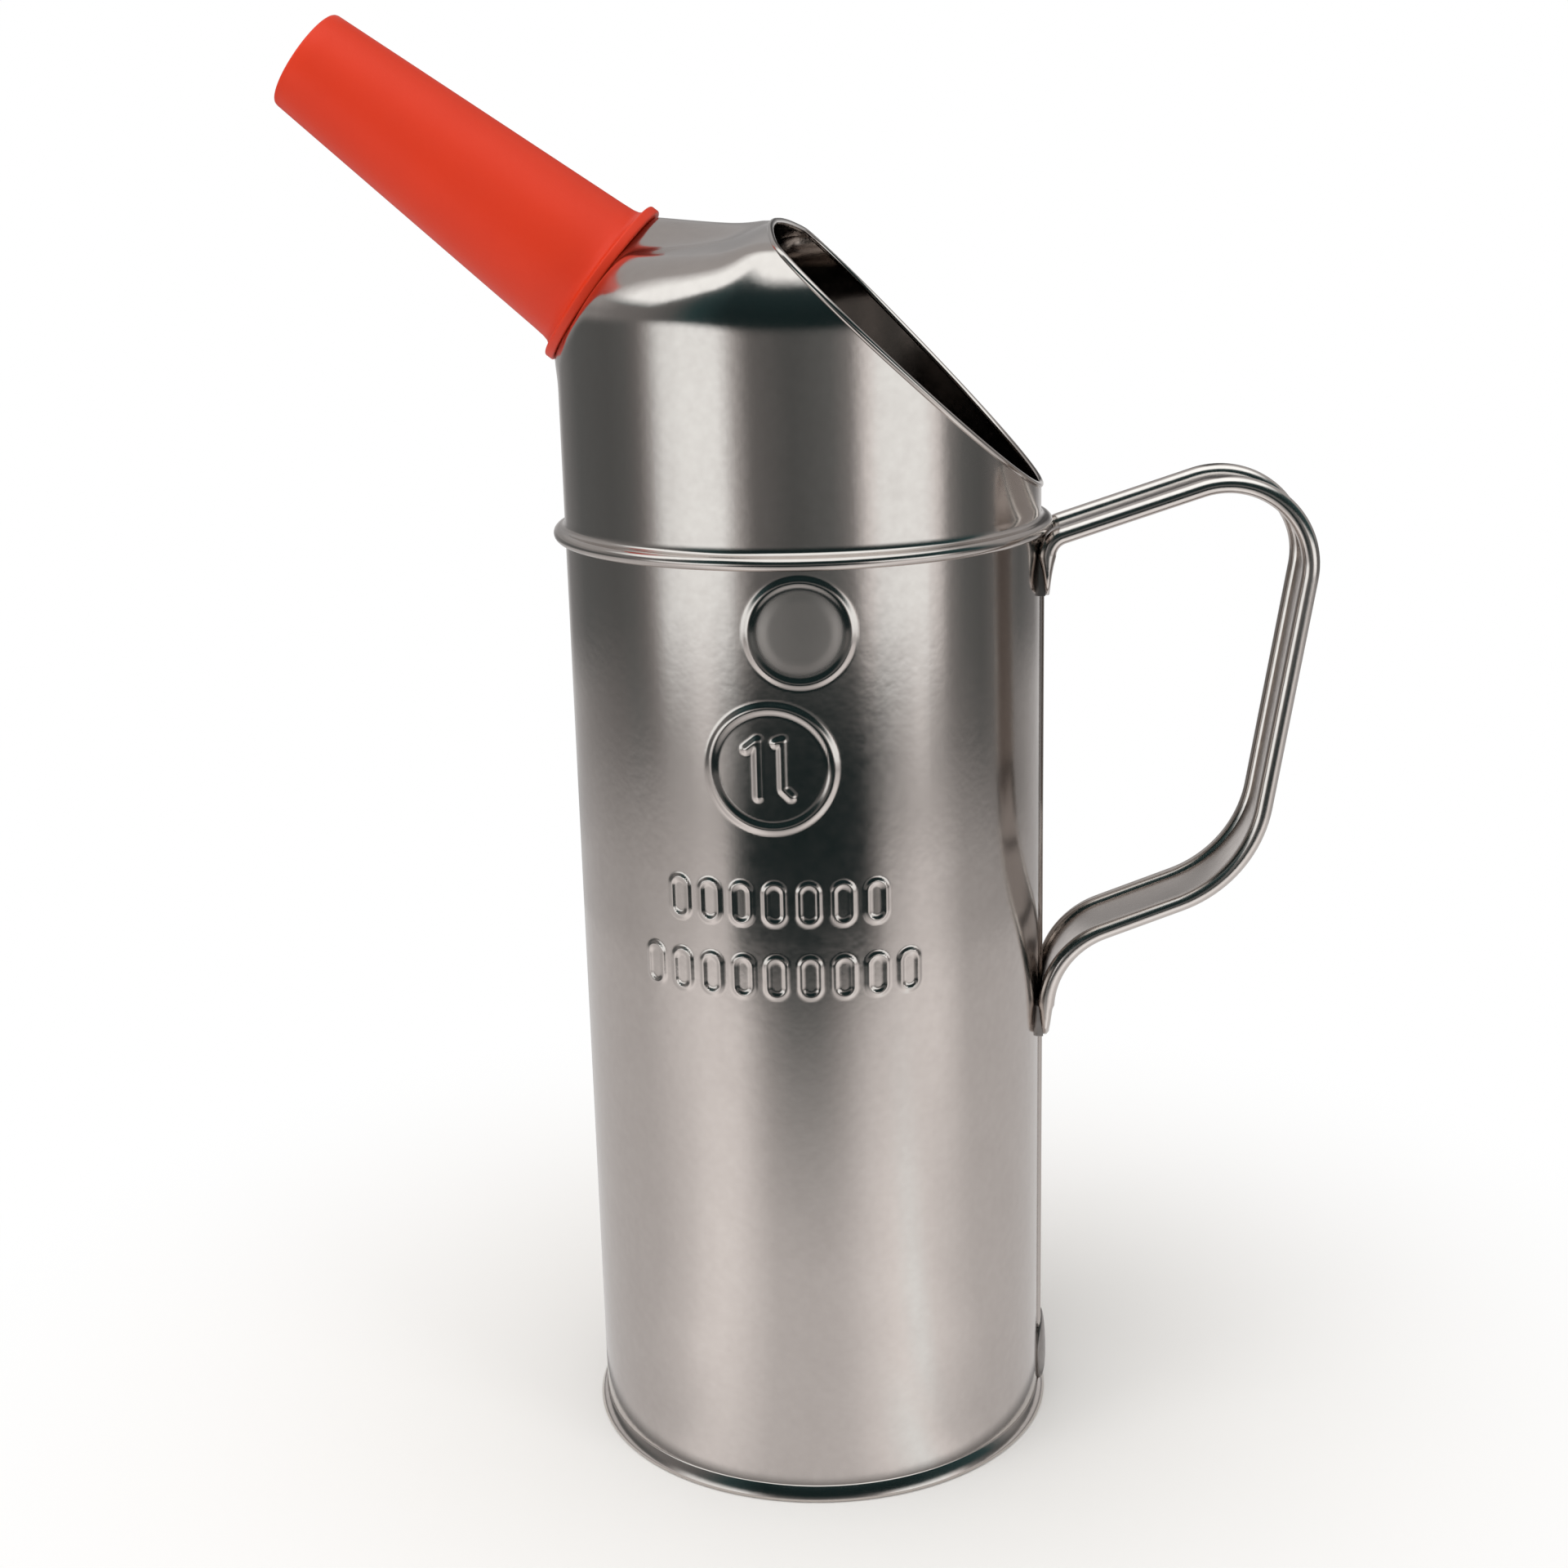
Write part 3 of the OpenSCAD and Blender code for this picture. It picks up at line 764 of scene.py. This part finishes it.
def shapeTab(shape, low, length, thinning):
    # rounds a tab's corners and flattens the rolls toward its end
    thin, gain, power = thinning
    rounding, half, high = strap["tabRound"], strap["width"] / 2, low + length
    for vert in shape.verts:
        x, y, z = vert.co.x / mm, vert.co.y / mm, vert.co.z / mm
        if low - 0.01 < z < high and x < strap["x"] + strap["tabReach"]:
            keep = max(thin + gain * ((z - low) / (high - low)) ** power, thin)
            vert.co.x = (strap["x"] + (x - strap["x"]) * keep) * mm
            rise = max(0, rounding - (z - low))
            if rise > 0:
                narrow = half - rounding + sqrt(max(rounding ** 2 - rise ** 2, 0))
                vert.co.y = y * narrow / half * mm


def onlyEdges(geometry):
    return [g for g in geometry if isinstance(g, bmesh.types.BMEdge)]


def makeHandle():
    slope, lean, arm = strap["topSlope"], strap["lean"], strap["armSlope"]
    upperTab, lowerTab = strap["tabs"]
    turns = (slope - 90, -lean - 90 - slope, arm + lean - 90, 90 - arm)
    trims = [r * tan(radians(abs(t)) / 2) for r, t in zip(strap["bends"], turns)]
    across = strap["reach"] - strap["x"]
    gripTop = strap["top"] + across * tan(radians(slope))
    armFall = across * tan(radians(arm))
    fall = (gripTop - strap["lowRoot"] - armFall) / (1 - tan(radians(lean)) * tan(radians(arm)))
    footX = strap["reach"] - fall * tan(radians(lean))
    runs = (upperTab, across / cos(radians(slope)) - trims[0] - trims[1],
            fall / cos(radians(lean)) - trims[1] - trims[2],
            (footX - strap["x"]) / cos(radians(arm)) - trims[2] - trims[3], lowerTab)
    shape = bmesh.new()
    place = Vector((strap["x"], 0, strap["top"] - trims[0] - upperTab))
    start = place.copy()
    dots = [shape.verts.new((place + Vector((-t, w, 0))) * mm) for t, w in strapOutline()]
    geometry = [shape.edges.new(pair) for pair in zip(dots, dots[1:] + dots[:1])]
    shape.faces.new(dots)
    heading = 90.0
    for i, length in enumerate(runs):
        ahead = Vector((cos(radians(heading)), 0, sin(radians(heading))))
        count = max(4, round(length / strap["pitch"][1]))
        for _ in range(count):
            grown = bmesh.ops.extrude_edge_only(shape, edges=geometry)["geom"]
            moved = [g for g in grown if isinstance(g, bmesh.types.BMVert)]
            bmesh.ops.translate(shape, verts=moved, vec=ahead * (length / count) * mm)
            geometry = [g for g in onlyEdges(grown) if all(v in moved for v in g.verts)]
        place += ahead * length
        if i < len(turns):
            turn, radius = turns[i], strap["bends"][i]
            left = Vector((-sin(radians(heading)), 0, cos(radians(heading))))
            centre = place + left * radius * (1 if turn > 0 else -1)
            count = max(10, round(abs(turn) / strap["bendPitch"]))
            swept = bmesh.ops.spin(shape, geom=geometry, cent=centre * mm, axis=(0, -1, 0),
                                   angle=radians(turn), steps=count, use_duplicate=False)
            geometry = onlyEdges(swept["geom_last"])
            place = centre + Matrix.Rotation(radians(turn), 3, (0, -1, 0)) @ (place - centre)
            heading += turn
    bmesh.ops.edgeloop_fill(shape, edges=geometry)
    bmesh.ops.remove_doubles(shape, verts=shape.verts, dist=0.002 * mm)
    bmesh.ops.recalc_face_normals(shape, faces=shape.faces)
    for low, length, thinning in zip((start.z, place.z), strap["tabs"], strap["tabThin"]):
        shapeTab(shape, low, length, thinning)
    # the strip's lighter copy of the plate is painted light
    return makePiece("strapHandle", shape, litStripTin, "can", ["handle_strap"], crease=40)


makeHandle()
print("handle made")


# solder

drop = {
    "height": (2.0, 16.8),
    "width": 12.0,
    "rise": 1.1,
    "seamFace": 44.6,
    "narrow": 0.35,  # share of its width that is gone at its top
    "thin": 0.2,  # share of its rise that is gone at its top
    "spread": 4.5,  # it runs down to the wall over this width to each side
}


def makeSeamDrop():
    # the pulled drop of solder that closes the foot of the seam
    shape = bmesh.new()
    bmesh.ops.create_uvsphere(shape, u_segments=64, v_segments=40, radius=1)
    low, high = drop["height"]
    spots = np.array([v.co for v in shape.verts])
    height = (spots[:, 2] + 1) / 2
    z = low + (high - low) * height
    y = spots[:, 1] * drop["width"] / 2 * (1 - drop["narrow"] * height)
    x = drop["seamFace"] + spots[:, 0] * drop["rise"] * (1 - drop["thin"] * height)
    skin = np.sqrt(np.maximum(wall["radius"] ** 2 - y ** 2, 1))
    under = drop["seamFace"] - wall["radius"]
    x -= under * np.clip(np.abs(y) / drop["spread"], 0, 1) ** 3
    x = np.where(spots[:, 0] > 0, np.maximum(x, skin), skin - 0.1)
    writePoints(shape, np.stack([x, y, z], 1))
    bmesh.ops.recalc_face_normals(shape, faces=shape.faces)
    return makePiece("seamDrop", shape, solder, "can", ["seam_foot_solder"], crease=180)


makeSeamDrop()

# CAD nodes that stay, each with its finish
kept = {
    "base_seal": compound,
    "spout_neck": tinplate,
    "neck_solder": solder,
    "upper_handle_solder": solder,
    "lower_handle_solder": solder,
}
for name, material in kept.items():
    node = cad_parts[name]
    node.data.materials.clear()
    node.data.materials.append(material)
print("solder and kept nodes finished")


# studio, in m

studio = {
    "table": 0.33,  # radius of the round table top
    "white": 0.05,  # where it starts to fade to plain white
    "plain": 0.65,  # share of its radius where it is plain white
    "room": 1.7,
    "middle": 0.15,  # height that the walls' angles are measured from
    # brightness of the walls in the metal, by turn from the can's front, from the top wall downward
    "highWalls": ((-180, 0.75), (-166, 0.7), (-150, 0.26), (-125, 0.15), (-96, 0.13), (-84, 0.15),
                  (-76, 0.2), (-70, 0.45), (-62, 1.22), (-50, 1.4), (-33, 1.4), (-26, 0.6), (-19, 0.2),
                  (0, 0.13), (18, 0.18), (27, 0.3), (35, 1.2), (40, 1.38), (62, 1.42), (69, 1.1), (75, 0.3),
                  (84, 0.16), (96, 0.13), (112, 0.24), (128, 0.14), (150, 0.24), (166, 0.7), (180, 0.75)),
    "middleWalls": ((-180, 0.75), (-166, 0.7), (-150, 0.5), (-127, 0.36), (-95, 0.22), (-84, 0.18),
                    (-72, 0.22), (-62, 0.4), (-54, 0.5), (-47, 0.85), (-42, 0.85), (-36, 0.4), (-29, 0.15),
                    (-22, 0.02), (31, 0.02), (38, 0.1), (46, 0.42), (54, 0.7), (58, 0.95), (62, 0.8),
                    (68, 0.45), (78, 0.22), (96, 0.13), (112, 0.25), (150, 0.5), (166, 0.7), (180, 0.75)),
    "waistWalls": ((-180, 0.55), (-98, 0.42), (-66, 0.5), (-38, 0.5), (-31, 0.15), (-25, 0.02), (30, 0.02),
                   (38, 0.12), (52, 0.4), (68, 0.52), (84, 0.37), (112, 0.24), (130, 0.3), (150, 0.52),
                   (180, 0.55)),
    "lowWalls": ((-180, 0.6), (-95, 0.56), (-60, 0.7), (-48, 0.85), (-38, 0.8), (-31, 0.15), (-25, 0.02),
                 (28, 0.02), (34, 0.2), (42, 0.7), (58, 0.98), (68, 0.9), (84, 0.56), (112, 0.5),
                 (150, 0.5), (180, 0.6)),
    # rise at which each wall gives way to the next one above
    "changes": {"waist": (-17.6, -16.4), "middle": (-15.6, -14.4), "high": (-12.8, -10.9), "above": (0, 9)},
    # brightness of the ceiling by its rise
    "ceiling": ((-90, 0.02), (32, 0.025), (55, 0.04), (66, 1.6), (90, 1.6)),
    # how far the ceiling is lowered, by turn; 12 is its plain place
    "lowerLeft": ((-180, 32), (-71, 31), (-58, 14), (-52, 6), (-46, 3), (-36, 5), (-24, 9), (-12, 13),
                  (6, 13), (180, 12)),
    # the least brightness under the ceiling, by turn
    "haze": ((-180, 0.3), (-90, 0.26), (-71, 0.22), (-58, 0.15), (-45, 0.07), (-28, 0.025), (40, 0.025),
             (90, 0.08), (180, 0.1)),
    # behind the can the ceiling gives way to a grey wall, by rise, with a dark opening, by turn
    "behind": (0.0, 0.3),  # how far behind, where 0 is beside the can and 1 straight back
    "backWall": ((-90, 0.38), (6, 0.38), (14, 0.34), (20, 0.46), (90, 0.6)),
    "opening": ((-180, 0.25), (-177.5, 0.25), (-175, 1), (155, 1), (168, 0.25), (180, 0.25)),
    # brightness of the table top in the metal by turn: close to the can, further out and at its edge
    "nearTable": ((-180, 0.74), (-75, 0.7), (-58, 0.72), (-46, 0.8), (-38, 0.98), (-31, 1.07), (-22, 0.97),
                  (-13, 0.8), (0, 0.78), (13, 0.83), (23, 1.06), (34, 1.22), (41, 1.1), (48, 0.86),
                  (61, 0.72), (80, 0.7), (180, 0.74)),
    "midTable": ((-180, 0.72), (-85, 0.7), (-70, 0.73), (-54, 0.92), (-46, 1.1), (-38, 1.18), (-30, 1.12),
                 (-23, 0.98), (-14, 0.8), (0, 0.77), (10, 0.8), (16, 0.87), (28, 1.08), (36, 1.2),
                 (44, 1.22), (52, 1.08), (60, 0.95), (75, 0.77), (100, 0.72), (180, 0.72)),
    "farTable": ((-180, 0.66), (-80, 0.68), (-66, 0.9), (-47, 1.1), (-31, 1.06), (-16, 0.36), (-6, 0.19),
                 (6, 0.19), (15, 0.34), (29, 0.8), (45, 1.02), (62, 1.15), (70, 1.0), (80, 0.7),
                 (180, 0.66)),
    "nearToMid": (0.06, 0.09),  # distance from the can's middle over which one gives way to the next
    "midToFar": (0.13, 0.3),
    "contactShadow": (0.048, 0.051, 0.25),  # painted contact shadow: where the dark ring of shade round the foot ends, and its brightness
    "poolEdge": (2, 0.3),  # mm, what the metal shows of the table starts so far out and so high
    "sky": ((1, 0.985, 0.97, 1), 0.78),  # light from all round
    "aim": (0, 0, 0.14),
    # name, place, size and power of each lamp
    "lamps": (("overhead", (-0.25, -0.35, 1.1), (0.9, 0.9), 3.4),
              ("leftPanel", (-0.8, -0.65, 0.35), (0.35, 0.9), 1.6),
              ("rightPanel", (0.8, -0.65, 0.35), (0.35, 0.9), 1.6)),
}


def makeStage(name, shape):
    thing = newObject(name, shape)
    return thing


def showInMetalOnly(thing):
    thing.visible_camera = False
    thing.visible_diffuse = False
    thing.visible_transmission = False
    thing.visible_shadow = False


def turnPart(tree, axes):
    # 0 to 1 round the can; the front is in the middle
    front = addMath(tree, "MULTIPLY", axes.outputs["Y"], -1.0)
    turn = addMath(tree, "ARCTAN2", axes.outputs["X"], front)
    return addRange(tree, turn, -pi, pi)


def grey(level):
    return level, level, level, 1


def shade(level):
    # the dark of the room is a little green, the panels are a little cooler than the rest
    tint = (0.5, 1.05, 1.1) if level < 0.1 else (0.95, 1, 1) if level < 0.2 else (1, 0.985, 0.98)
    tint = (1, 1.05, 1.06) if level > 1.2 else tint
    return tuple(level * t for t in tint) + (1,)


def ramp(tree, part, stops, tone=shade, whole=360):
    # stops are (degrees, level), with 0 degrees in the middle of the ramp
    node = addNode(tree, "ShaderNodeValToRGB", {"Fac": part})
    elements = node.color_ramp.elements
    elements.remove(elements[-1])
    for i, (angle, level) in enumerate(stops):
        spot = (angle + whole / 2) / whole
        element = elements[0] if i == 0 else elements.new(spot)
        element.position = spot
        element.color = tone(level)
    return node.outputs[0]


def finishGlow(tree, tone):
    finish(tree, addNode(tree, "ShaderNodeEmission", {"Strength": 1.0, "Color": tone}))


def makeTable():
    # matt white card, which fades to plain white away from the can
    shape = bmesh.new()
    bmesh.ops.create_circle(shape, cap_ends=True, segments=128, radius=studio["table"])
    table = makeStage("table", shape)
    material, tree, place = newMaterial("paleTable")
    reach = addNode(tree, "ShaderNodeVectorMath", {"operation": "LENGTH", 0: place})
    fade = addNode(tree, "ShaderNodeMapRange",
                   {"interpolation_type": "SMOOTHSTEP", "From Min": studio["white"],
                    "From Max": studio["table"] * studio["plain"], "Value": reach.outputs["Value"]})
    ray = addNode(tree, "ShaderNodeLightPath").outputs
    seen = addMath(tree, "ADD", ray["Is Camera Ray"], ray["Is Glossy Ray"], clamp=True)
    share = addMath(tree, "MULTIPLY", fade.outputs[0], seen)
    paper = addNode(tree, "ShaderNodeBsdfDiffuse", {"Color": colour("#FAF9F7")})
    white = addNode(tree, "ShaderNodeEmission", {"Color": (1, 1, 1, 1), "Strength": 1.0})
    finish(tree, addNode(tree, "ShaderNodeMixShader", {0: share, 1: paper.outputs[0], 2: white.outputs[0]}))
    table.data.materials.append(material)


def makeRoom():
    # dark room with two tall soft panels and a soft ceiling, which only the metal's reflections see
    shape = bmesh.new()
    bmesh.ops.create_uvsphere(shape, u_segments=48, v_segments=24, radius=studio["room"])
    bmesh.ops.reverse_faces(shape, faces=shape.faces)
    room = makeStage("room", shape)
    material, tree, place = newMaterial("roomWalls")
    middle = (0, 0, studio["middle"])
    toWall = addNode(tree, "ShaderNodeVectorMath", {"operation": "SUBTRACT", 0: place, 1: middle})
    unit = addNode(tree, "ShaderNodeVectorMath", {"operation": "NORMALIZE", 0: toWall.outputs[0]})
    axes = addNode(tree, "ShaderNodeSeparateXYZ", {0: unit.outputs[0]})
    part = turnPart(tree, axes)
    risePart = addRange(tree, addMath(tree, "ARCSINE", axes.outputs["Z"]), -pi / 2, pi / 2)
    walls = {level: ramp(tree, part, studio[level + "Walls"]) for level in ("low", "waist", "middle", "high")}
    dip = ramp(tree, part, [(a, v / 180) for a, v in studio["lowerLeft"]], grey)
    ceiling = ramp(tree, addMath(tree, "ADD", risePart, dip), studio["ceiling"], whole=180)
    ceiling = addMix(tree, 1.0, ceiling, ramp(tree, part, studio["haze"]), "LIGHTEN")
    back = ramp(tree, risePart, studio["backWall"], whole=180)
    back = addMix(tree, 1.0, back, ramp(tree, part, studio["opening"], grey), "MULTIPLY")
    walls["above"] = addMix(tree, addRange(tree, axes.outputs["Y"], *studio["behind"]), ceiling, back)
    tone = walls["low"]
    for level, (start, end) in studio["changes"].items():
        share = addRange(tree, axes.outputs["Z"], sin(radians(start)), sin(radians(end)))
        tone = addMix(tree, share, tone, walls[level])
    finishGlow(tree, tone)
    room.data.materials.append(material)
    showInMetalOnly(room)


def makeLightPool():
    # painted reflection of the table top in the metal: lit bright toward both panels, shaded dark toward the
    # front, with a painted contact shadow round the foot
    shape = bmesh.new()
    gap, height = studio["poolEdge"]
    rim = wireOf(shape, [(base["outer"] + gap, height), (studio["table"] / mm, height)])
    bmesh.ops.spin(shape, geom=rim, cent=(0, 0, 0), axis=(0, 0, 1), angle=2 * pi, steps=96, use_merge=True)
    bmesh.ops.recalc_face_normals(shape, faces=shape.faces)
    pool = makeStage("lightPool", shape)
    material, tree, place = newMaterial("tableInMetal")
    axes = addNode(tree, "ShaderNodeSeparateXYZ", {0: place})
    reach = addNode(tree, "ShaderNodeVectorMath", {"operation": "LENGTH", 0: place}).outputs["Value"]
    part = turnPart(tree, axes)
    near, mid, far = (ramp(tree, part, studio[spot + "Table"]) for spot in ("near", "mid", "far"))
    tone = addMix(tree, addRange(tree, reach, *studio["nearToMid"]), near, mid)
    tone = addMix(tree, addRange(tree, reach, *studio["midToFar"]), tone, far)
    # painted contact shadow: close round the foot the reflected table darkens to this brightness
    start, end, dark = studio["contactShadow"]
    tone = addMix(tree, addRange(tree, reach, start, end), shade(dark), tone)
    finishGlow(tree, tone)
    pool.data.materials.append(material)
    showInMetalOnly(pool)


def makeLamp(name, place, size, power):
    light = bpy.data.lights.new(name, "AREA")
    light.shape = "RECTANGLE"
    light.size, light.size_y = size
    light.energy = power
    lamp = bpy.data.objects.new(name, light)
    bpy.context.scene.collection.objects.link(lamp)
    lamp.location = place
    lamp.rotation_euler = (Vector(studio["aim"]) - Vector(place)).to_track_quat("-Z", "Y").to_euler()
    lamp.visible_glossy = False


def makeLight():
    world = bpy.data.worlds.new("studio")
    bpy.context.scene.world = world
    world.use_nodes = True
    tree = world.node_tree
    tree.nodes.clear()
    ray = addNode(tree, "ShaderNodeLightPath").outputs
    seen = addMath(tree, "ADD", ray["Is Camera Ray"], ray["Is Glossy Ray"])
    through = addMath(tree, "ADD", seen, ray["Is Transmission Ray"], clamp=True)
    tone, strength = studio["sky"]
    soft = addNode(tree, "ShaderNodeBackground", {"Color": tone, "Strength": strength})
    white = addNode(tree, "ShaderNodeBackground", {"Color": (1, 1, 1, 1), "Strength": 1.0})
    mixed = addNode(tree, "ShaderNodeMixShader", {0: through, 1: soft.outputs[0], 2: white.outputs[0]})
    addNode(tree, "ShaderNodeOutputWorld", {"Surface": mixed.outputs[0]})
    for lamp in studio["lamps"]:
        makeLamp(*lamp)


makeTable()
makeRoom()
makeLightPool()
makeLight()
bpy.context.scene.view_settings.view_transform = "Standard"
print("studio set")
